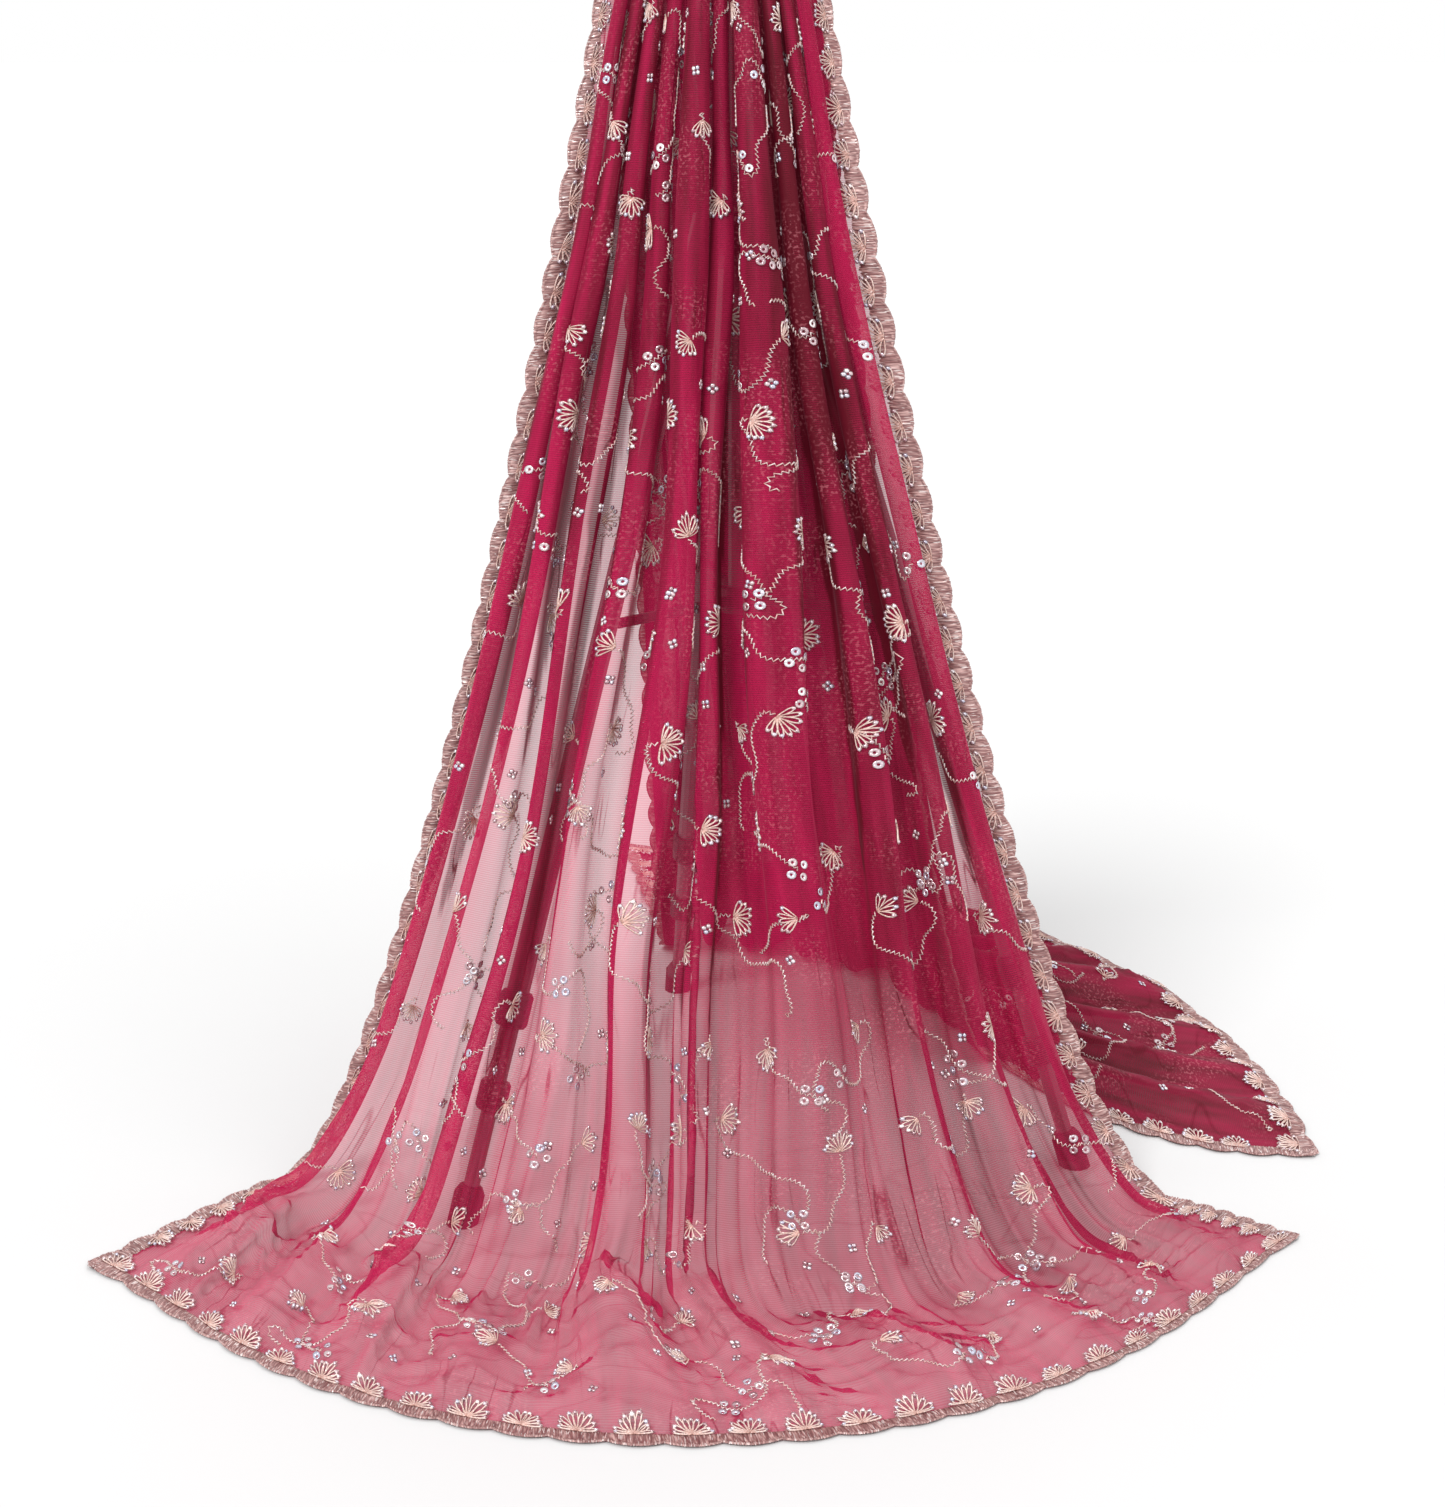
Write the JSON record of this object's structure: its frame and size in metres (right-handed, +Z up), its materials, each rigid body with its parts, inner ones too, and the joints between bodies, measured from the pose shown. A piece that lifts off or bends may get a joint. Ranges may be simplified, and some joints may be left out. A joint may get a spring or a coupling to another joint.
{
  "type": "embroidered dupatta stole draped over a tripod stand",
  "caption": "Sheer rectangular stole with a scalloped embroidered border, gathered over a tripod stand's bar and spread on the floor at both ends.",
  "frame": {"origin": "on the floor under the middle of the whole object's box", "axes": "+Z up; the viewer stands at -Y; +Y runs back, the way of the longest extent, from the front spread to the back spread; +X to the viewer's right"},
  "size_m": [0.899, 1.1222, 0.919],
  "materials": {
    "net_ground": "sheer crimson net with a fine rib",
    "satin_border": "dull rose satin stitch with a corded edge",
    "stand_tube": "dark anodised",
    "stand_moulding": "matt black",
    "stand_foot": "matt black"
  },
  "bodies": {
    "root": {"cloth_front_fall": "net_ground", "cloth_over_bar": "net_ground", "cloth_back_fall": "net_ground", "cloth_front_spread": "net_ground", "cloth_back_spread": "net_ground", "border_front_hem": "satin_border", "border_back_hem": "satin_border", "border_left_front": "satin_border", "border_right_front": "satin_border", "border_left_back": "satin_border", "border_right_back": "satin_border", "bar": "stand_tube", "column_upper": "stand_tube", "column_lower": "stand_tube", "bar_cap_left": "stand_moulding", "bar_cap_right": "stand_moulding", "crown": "stand_moulding", "brace_hub": "stand_moulding", "leg_upper_left": "stand_tube", "leg_middle_left": "stand_tube", "leg_lower_left": "stand_tube", "collar_upper_left": "stand_moulding", "collar_lower_left": "stand_moulding", "foot_left": "stand_foot", "brace_arm_left": "stand_moulding", "leg_upper_right": "stand_tube", "leg_middle_right": "stand_tube", "leg_lower_right": "stand_tube", "collar_upper_right": "stand_moulding", "collar_lower_right": "stand_moulding", "foot_right": "stand_foot", "brace_arm_right": "stand_moulding", "leg_upper_back": "stand_tube", "leg_middle_back": "stand_tube", "leg_lower_back": "stand_tube", "collar_upper_back": "stand_moulding", "collar_lower_back": "stand_moulding", "foot_back": "stand_foot", "brace_arm_back": "stand_moulding"}
  },
  "joints": []
}
